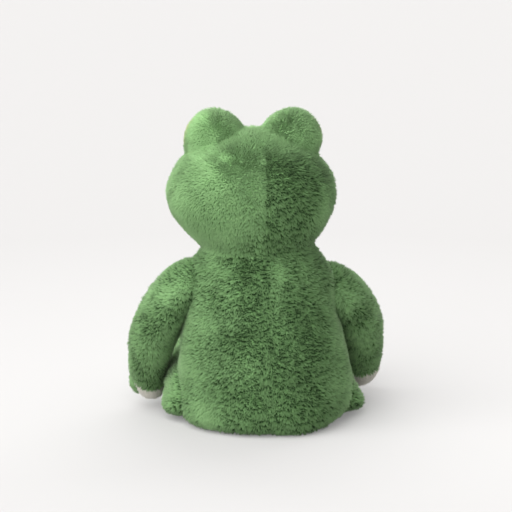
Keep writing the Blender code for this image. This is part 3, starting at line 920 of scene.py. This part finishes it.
wrists = {"left": 0.160, "right": 0.176}
palm_slopes = {"left": 0.30, "right": -0.10}
for base, (side, sign) in enumerate(sides.items()):
    tilt = Euler(arm_turns[side]).to_matrix()
    down_arm = tilt @ Vector((0, 0, -1))
    forward = tilt @ Vector((0, -1, 0))
    shoulder = shoulders[side]
    wrist = shoulder + down_arm * wrists[side]
    palm_way = (down_arm * 0.94 + forward * palm_slopes[side]).normalized()
    panels = {
        "arm_back_": ((shoulder, forward), (wrist, palm_way)),
        "arm_front_": ((shoulder, -forward), (wrist, palm_way)),
        "palm_": ((wrist, -palm_way),),
    }
    for number, (name, planes) in enumerate(panels.items()):
        cover = cut_panel(arm_forms[side], f"{name}{side}_cover", planes)
        cream = name == "palm_"
        grow_pile(
            cover,
            down_arm,
            300 + 100 * base + 10 * number,
            curl=0.4,
            keep_off=(trunk,),
            ruffled=cream_ruffle if cream else limb_ruffle,
        )
        wear(cover, "cream_fur" if cream else "green_fur", name + side)
        bend_at_shoulder(cover)
    thumb_place = shoulder + tilt @ Vector((sign * 0.074, -0.002, -wrists[side] - 0.012))
    thumb = stuffed_form(f"thumb_{side}_cover", thumb_rings, thumb_place, arm_turns[side], 8)
    grow_pile(thumb, down_arm, 390 + 100 * base, length=0.0055, curl=0.4, keep_off=(arm_forms[side],))
    wear(thumb, "green_fur", "thumb_" + side)
    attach(thumb, "arm_" + side)


# Each leg's cover is sewn from a top and an under panel and a cream sole. The leg is sewn to the
# body low at the front, and lies on the floor.
ankle = Vector((0, -0.036 - 0.146, 0))


def bend_at_hip(piece):
    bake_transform(piece)


for base, side in enumerate(sides):
    hip = hips[side]
    panels = {
        "leg_top_": ((hip, (0, 0, -1)), (ankle, (0, -1, 0))),
        "leg_under_": ((hip, (0, 0, 1)), (ankle, (0, -1, 0))),
        "sole_": ((ankle, (0, 1, 0)),),
    }
    for number, (name, planes) in enumerate(panels.items()):
        cover = cut_panel(leg_forms[side], f"{name}{side}_cover", planes)
        cream = name == "sole_"
        grow_pile(
            cover,
            (0, -1, -0.4),
            500 + 100 * base + 10 * number,
            spacing=0.0012,
            curl=0.4,
            keep_off=(trunk,),
            ruffled=cream_ruffle if cream else limb_ruffle,
        )
        wear(cover, "cream_fur" if cream else "green_fur", name + side)
        bend_at_hip(cover)


# A round patch of pale velvet is sewn on each mound, with a hole for the eye's stem. The eye is a
# glossy domed safety eye, whose stem goes through the cloth into a hard plastic washer.
def grain_group():
    """Node group: a colour and a roughness that vary finely between two of each."""
    given = {"Scale": "Float", "Dark": "Color", "Light": "Color", "Glossy": "Float", "Matt": "Float"}
    group, given, gives = new_group("fine grain", given, {"Color": "Color", "Roughness": "Float"})
    place = add_node(group, "TexCoord").outputs["Object"]
    grain = add_node(group, "TexNoise", {"Vector": place, "Scale": given["Scale"]}).outputs["Fac"]
    between = {"Factor": grain, 6: given["Dark"], 7: given["Light"]}
    tint = add_node(group, "Mix", between, data_type="RGBA")
    between = {"Value": grain, "To Min": given["Glossy"], "To Max": given["Matt"]}
    gloss = add_node(group, "MapRange", between)
    group.links.new(tint.outputs[2], gives["Color"])
    group.links.new(gloss.outputs["Result"], gives["Roughness"])
    return group


fine_grain = grain_group()


def plain_material(name, colour, roughness, speckle=0.06, scale=300, **values):
    """An even material whose colour and gloss vary finely."""
    material, shader, tree = new_material(name, **values)
    grain = tree.nodes.new("ShaderNodeGroup")
    grain.node_tree = fine_grain
    given = {
        "Scale": scale,
        "Dark": (*(value * (1 - speckle) for value in colour), 1),
        "Light": (*(min(1, value * (1 + speckle)) for value in colour), 1),
        "Glossy": roughness * 0.85,
        "Matt": min(1, roughness * 1.15),
    }
    for socket, value in given.items():
        grain.inputs[socket].default_value = value
    tree.links.new(grain.outputs["Color"], shader.inputs["Base Color"])
    tree.links.new(grain.outputs["Roughness"], shader.inputs["Roughness"])
    return material, shader, tree


# The velvet's root and gap colours, too, are painted shade in the pile's depth and between its
# clumps.
cloths["eye_felt"] = plush_material(
    "pale green velvet",
    root=(0.38, 0.44, 0.20),
    tip=(0.60, 0.68, 0.36),
    gap=(0.30, 0.36, 0.14),
    sheen=(0.9, 0.9, 0.7),
)
eye_black, _, _ = plain_material(
    "eye plastic", (0.012, 0.011, 0.010), 0.07, 0.3, Coat_Weight=0.6, Coat_Roughness=0.03
)
washer_white, _, _ = plain_material("washer plastic", (0.80, 0.80, 0.77), 0.38)
patch_radius, patch_rows, patch_lift, bow_radius = 0.0285, 5, 0.0020, 0.031
eye_hole, eye_radius, eye_rise = 0.0128, 0.0125, 0.0085
stem_radius, stem_length = 0.0032, 0.014
graph = bpy.context.evaluated_depsgraph_get()
front_of_trunk = BVHTree.FromObject(trunk, graph)
for base, side in enumerate(sides):
    # The patch is a flat ring, laid on the mound along lines that fan out from its middle.
    place, axis, turn = mound_places[side], look[side], eye_turns[side]
    bpy.ops.object.select_all(action="DESELECT")
    bpy.ops.mesh.primitive_circle_add(
        vertices=32, radius=patch_radius, fill_type="NGON", location=place, rotation=turn
    )
    patch = bpy.context.object
    patch.name = f"eye_patch_{side}_cover"
    bpy.ops.object.mode_set(mode="EDIT")
    bpy.ops.mesh.select_all(action="SELECT")
    for _ in range(patch_rows):
        bpy.ops.mesh.inset(thickness=(patch_radius - eye_hole) / patch_rows)
    bpy.ops.mesh.delete(type="FACE")
    bpy.ops.mesh.select_all(action="SELECT")
    bpy.ops.mesh.normals_make_consistent(inside=False)
    bpy.ops.object.mode_set(mode="OBJECT")
    bpy.ops.object.transform_apply(location=True, rotation=True, scale=True)
    for vertex in patch.data.vertices:
        aside = vertex.co - place
        bow = aside.length / bow_radius * (1 - 0.3 * max(0, -aside.normalized().z))
        outward = axis * math.cos(bow) + aside.normalized() * math.sin(bow)
        lies, normal, _, _ = front_of_trunk.ray_cast(place, outward)
        vertex.co = lies + normal * patch_lift
    bpy.ops.object.shade_smooth()
    grow_pile(patch, (0, 0, -1), 700 + base, length=0.0032, spacing=0.0009, tilt=0.5)
    wear(patch, "eye_felt", "eye_patch_" + side)
    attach(patch, "head")

    # The eye is half a ball, flattened, with its stem behind it.
    _, _, _, distance = front_of_trunk.ray_cast(place + axis * 0.1, -axis)
    seat = place + axis * (0.1 - distance + 0.0005)
    bpy.ops.object.select_all(action="DESELECT")
    bpy.ops.mesh.primitive_uv_sphere_add(segments=48, ring_count=24, radius=eye_radius)
    eye = bpy.context.object
    eye.name = f"eye_{side}_dome"
    bpy.ops.object.mode_set(mode="EDIT")
    bpy.ops.mesh.select_all(action="SELECT")
    bpy.ops.mesh.bisect(plane_co=(0, 0, 0), plane_no=(0, 0, -1), clear_outer=True, use_fill=True)
    bpy.ops.mesh.select_all(action="SELECT")
    bpy.ops.transform.resize(value=(1, 1, eye_rise / eye_radius), center_override=(0, 0, 0))
    bpy.ops.object.mode_set(mode="OBJECT")
    bpy.ops.mesh.primitive_cylinder_add(
        vertices=24, radius=stem_radius, depth=stem_length, location=(0, 0, 0.0002 - stem_length / 2)
    )
    choose(eye, bpy.context.object)
    bpy.ops.object.join()
    eye.location = seat
    eye.rotation_euler = turn
    bpy.ops.object.transform_apply(location=True, rotation=True, scale=True)
    bpy.ops.object.shade_smooth_by_angle(angle=math.radians(35))
    eye.data.materials.append(eye_black)
    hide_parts("eye_" + side)
    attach(eye, "head")
    washer = bpy.data.objects["eye_washer_" + side]
    washer.material_slots[0].material = washer_white


# The mouth is a line of backstitches in thick thread along the seam of the face and the chin. The
# nostrils are short satin-stitched ovals above it.
thread, _, _ = plain_material("dark green thread", (0.035, 0.075, 0.03), 0.75, 0.35, 900)


def on_face(x, z):
    """The front of the head's cloth at a place seen from the front, and its outward normal."""
    place, normal, _, _ = front_of_trunk.ray_cast(Vector((x, -0.3, z)), Vector((0, 1, 0)))
    return place, normal


def thread_ball(radii, place, along, outward):
    """A short thick stitch: a ball stretched along the cloth."""
    bpy.ops.object.select_all(action="DESELECT")
    bpy.ops.mesh.primitive_uv_sphere_add(segments=14, ring_count=10, radius=1)
    stitch = bpy.context.object
    bpy.ops.object.mode_set(mode="EDIT")
    bpy.ops.mesh.select_all(action="SELECT")
    bpy.ops.transform.resize(value=radii, center_override=(0, 0, 0))
    bpy.ops.object.mode_set(mode="OBJECT")
    across = outward.cross(along).normalized()
    along = across.cross(outward).normalized()
    turned = stitch.matrix_world.copy()
    for row in range(3):
        turned[row][0], turned[row][1], turned[row][2] = along[row], across[row], outward[row]
        turned[row][3] = place[row]
    stitch.matrix_world = turned
    bpy.ops.object.transform_apply(location=True, rotation=True, scale=True)
    bpy.ops.object.shade_smooth()
    return stitch


def sew_on(pieces, name, node):
    """Joins stitches into one piece of thread on the head, in place of the frame's node."""
    choose(*pieces)
    bpy.ops.object.join()
    pieces[0].name = name
    pieces[0].data.materials.append(thread)
    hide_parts(node)
    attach(pieces[0], "head")


stitches = []
stitch_count, stitch_lift = 20, 0.0050
for number in range(stitch_count):
    ends = [on_face(*mouth_at(2 * (number + step) / stitch_count - 1)) for step in (0, 1)]
    outward = (ends[0][1] + ends[1][1]).normalized()
    middle = (ends[0][0] + ends[1][0]) / 2 + outward * stitch_lift
    along = ends[1][0] - ends[0][0]
    stitches.append(thread_ball((along.length * 0.56, 0.0015, 0.0014), middle, along, outward))
sew_on(stitches, "mouth_stitches", "mouth_stitching")
strand_gap, strand_half_height, strand_lift = 0.0014, 0.0024, 0.0054
for side, (x, z) in zip(sides, nostril_places):
    strands = []
    for number in range(-2, 3):
        place, outward = on_face(x + number * strand_gap, z)
        radii = (strand_half_height * math.sqrt(1 - (number / 3) ** 2), 0.0009, 0.0012)
        strands.append(
            thread_ball(radii, place + outward * strand_lift, Vector((0, 0, 1)), outward)
        )
    sew_on(strands, f"nostril_{side}_stitches", "nostril_" + side)


# The stuffing is loose white polyester fibre, pushed in by hand. It fills the body, the head, the
# eye mounds and the limbs, and a wad of it stiffens the neck.
def fibre_material():
    """White fibre in soft tangled lumps."""
    material, shader, tree = plain_material("polyester fibre", (0.84, 0.84, 0.82), 0.95, 0.08, 90)
    place = add_node(tree, "TexCoord").outputs["Object"]
    tangle = {"Vector": place, "Scale": 700, "Detail": 4, "Distortion": 1.5}
    height = add_node(tree, "TexNoise", tangle).outputs["Fac"]
    bump = add_node(tree, "Bump", {"Height": height, "Strength": 0.6, "Distance": 0.001})
    tree.links.new(bump.outputs["Normal"], shader.inputs["Normal"])
    return material


fibre = fibre_material()


def fill_with_fibre(form, name, seed, holes=()):
    """Makes a form into a soft lumpy wad of fibre, with room left for what lies in it."""
    for hole in holes:
        cut_away(form, hole)
    points = points_of(form)
    lumps = 0.0010 * slow_noise(points, 0.016, seed) + 0.0004 * slow_noise(points, 0.006, seed + 1)
    points += normals_of(form) * (lumps - 0.0010)[:, None]
    set_points(form, points)
    form.name = name + "_fibre"
    form.data.materials.clear()
    form.data.materials.append(fibre)
    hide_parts(name)
    return form


wad_inset = pile_height + 0.0055
wide_room = grown_copy(trunk, 0.005)
neck_wad = stuffed_form("neck_wad", ball_rings(0.033, 0.042, 0.032), neck, inset=0.0)
bag_place = (0, 0.012, 0.0255)
bag = stuffed_form("pellet_bag_cloth", ball_rings(0.0165, 0.044, 0.031), bag_place, inset=0.0)
wad = stuffed_form("body_wad", body_rings, (0, 0, 0), levels=3, inset=wad_inset)
body_wad = cut_panel(wad, "body_wad_cut", (((0, 0, neck_seam - 0.002), (0, 0, 1)),), close=True)
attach(fill_with_fibre(body_wad, "body_stuffing", 1, (neck_wad, bag)), "body")
bpy.data.objects.remove(wad)
wad = stuffed_form("head_wad", head_rings, neck, levels=3, inset=wad_inset)
head_wad = cut_panel(wad, "head_wad_cut", (((0, 0, neck_seam + 0.003), (0, 0, -1)),), close=True)
bpy.data.objects.remove(wad)
bend_at_neck(fill_with_fibre(head_wad, "head_stuffing", 2, (neck_wad,)))
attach(fill_with_fibre(neck_wad, "neck_stuffing", 3), "body")
for base, side in enumerate(sides):
    wad = stuffed_form("mound_wad", ball_rings(0.030, 0.031, 0.026), mound_places[side], inset=0.0)
    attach(fill_with_fibre(wad, "eye_mound_stuffing_" + side, 10 + base), "head")
    arm_wad = stuffed_form(
        "arm_wad", arm_rings[side], shoulders[side], arm_turns[side], 8, 3, wad_inset + 0.001
    )
    bend_at_shoulder(fill_with_fibre(arm_wad, "arm_stuffing_" + side, 20 + base, (wide_room,)))
    leg_wad = stuffed_form(
        "leg_wad", leg_rings, hips[side], (-math.radians(90), 0, 0), 8, 3, wad_inset + 0.001
    )
    bend_at_hip(fill_with_fibre(leg_wad, "leg_stuffing_" + side, 30 + base, (wide_room,)))


# The pellet bag weighs the seat down. It is plain woven cotton, sewn shut round its rim.
def woven_material(name, colour):
    """A plain weave: two sets of threads across each other."""
    material, shader, tree = plain_material(name, colour, 0.9, 0.08, 400)
    place = add_node(tree, "TexCoord").outputs["Object"]
    threads = {"Vector": place, "Scale": 260}
    warp = add_node(tree, "TexWave", threads, bands_direction="X").outputs["Fac"]
    weft = add_node(tree, "TexWave", threads, bands_direction="Y").outputs["Fac"]
    weave = add_node(tree, "Math", {0: warp, 1: weft}, operation="MULTIPLY").outputs[0]
    bump = add_node(tree, "Bump", {"Height": weave, "Strength": 0.5, "Distance": 0.0005})
    tree.links.new(bump.outputs["Normal"], shader.inputs["Normal"])
    return material


points = points_of(bag)
rim = np.exp(-(((points[:, 2] - bag_place[2]) / 0.0012) ** 2))
points += normals_of(bag) * (0.0015 * rim - 0.0008 + 0.0004 * slow_noise(points, 0.012, 5))[:, None]
set_points(bag, points)
bag.data.materials.append(woven_material("bag cotton", (0.66, 0.60, 0.48)))
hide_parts("pellet_bag")
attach(bag, "body")
for form in (trunk, trunk_room, wide_room, *limb_forms):
    bpy.data.objects.remove(form)


# The studio is a pale sweep of paper, a large soft lamp high on the camera's left, and even light
# from all round.
bpy.ops.object.select_all(action="DESELECT")
bpy.ops.mesh.primitive_plane_add(size=40, location=(0, 0, 0))
floor = bpy.context.object
floor.name = "floor"
paper, shader, tree = new_material(
    "pale paper", Base_Color=(0.57, 0.56, 0.555, 1), Roughness=0.9
)
# For the camera alone, the paper also shines a little, and less further off.
place = add_node(tree, "TexCoord").outputs["Object"]
away_from_frog = add_node(tree, "VectorMath", {0: place}, operation="LENGTH").outputs["Value"]
sweep = add_node(tree, "MapRange", {"Value": away_from_frog, "From Min": 0.35, "From Max": 1.1})
near, far = (0.92, 0.92, 0.92, 1), (0.50, 0.50, 0.50, 1)
shade = {"Factor": sweep.outputs["Result"], 6: near, 7: far}
shade = add_node(tree, "Mix", shade, data_type="RGBA").outputs[2]
glow = add_node(tree, "Emission", {"Color": shade}).outputs["Emission"]
seen = add_node(tree, "LightPath").outputs["Is Camera Ray"]
share = add_node(tree, "Math", {0: seen, 1: 0.2}, operation="MULTIPLY").outputs[0]
both = add_node(tree, "MixShader", {"Fac": share, 1: shader.outputs["BSDF"], 2: glow})
tree.links.new(both.outputs["Shader"], tree.nodes["Material Output"].inputs["Surface"])
floor.data.materials.append(paper)

world = bpy.context.scene.world or bpy.data.worlds.new("studio")
bpy.context.scene.world = world
world.use_nodes = True
tree = world.node_tree
sky = tree.nodes["Background"]
sky.inputs["Color"].default_value = (1.0, 0.99, 0.98, 1)
seen = add_node(tree, "LightPath").outputs["Is Camera Ray"]
level = add_node(tree, "MapRange", {"Value": seen, "To Min": 0.56, "To Max": 0.87})
tree.links.new(level.outputs["Result"], sky.inputs["Strength"])

for name, strength, spread, shines in (
    ("soft lamp", 3.75, 75, (-1.6, -1.7, -2.3)),
    ("front fill", 2.4, 90, (0.6, 2.0, -0.7)),
):
    lamp = bpy.data.lights.new(name, "SUN")
    lamp.energy = strength
    lamp.angle = math.radians(spread)
    lamp_object = bpy.data.objects.new(name, lamp)
    bpy.context.collection.objects.link(lamp_object)
    lamp_object.rotation_euler = Vector(shines).to_track_quat("-Z", "Y").to_euler()

camera = bpy.data.cameras.new("camera")
camera.lens = 169
camera.sensor_width = 36
camera_object = bpy.data.objects.new("camera", camera)
bpy.context.collection.objects.link(camera_object)
bpy.context.scene.camera = camera_object
aim = Vector((0.0075, 0, 0.212))
azimuth, elevation, distance = math.radians(174), math.radians(13), 3.0
away = Vector(
    (
        math.sin(azimuth) * math.cos(elevation),
        -math.cos(azimuth) * math.cos(elevation),
        math.sin(elevation),
    )
)
camera_object.location = aim + away * distance
camera_object.rotation_euler = (-away).to_track_quat("-Z", "Y").to_euler()
bpy.context.scene.view_settings.view_transform = "Standard"
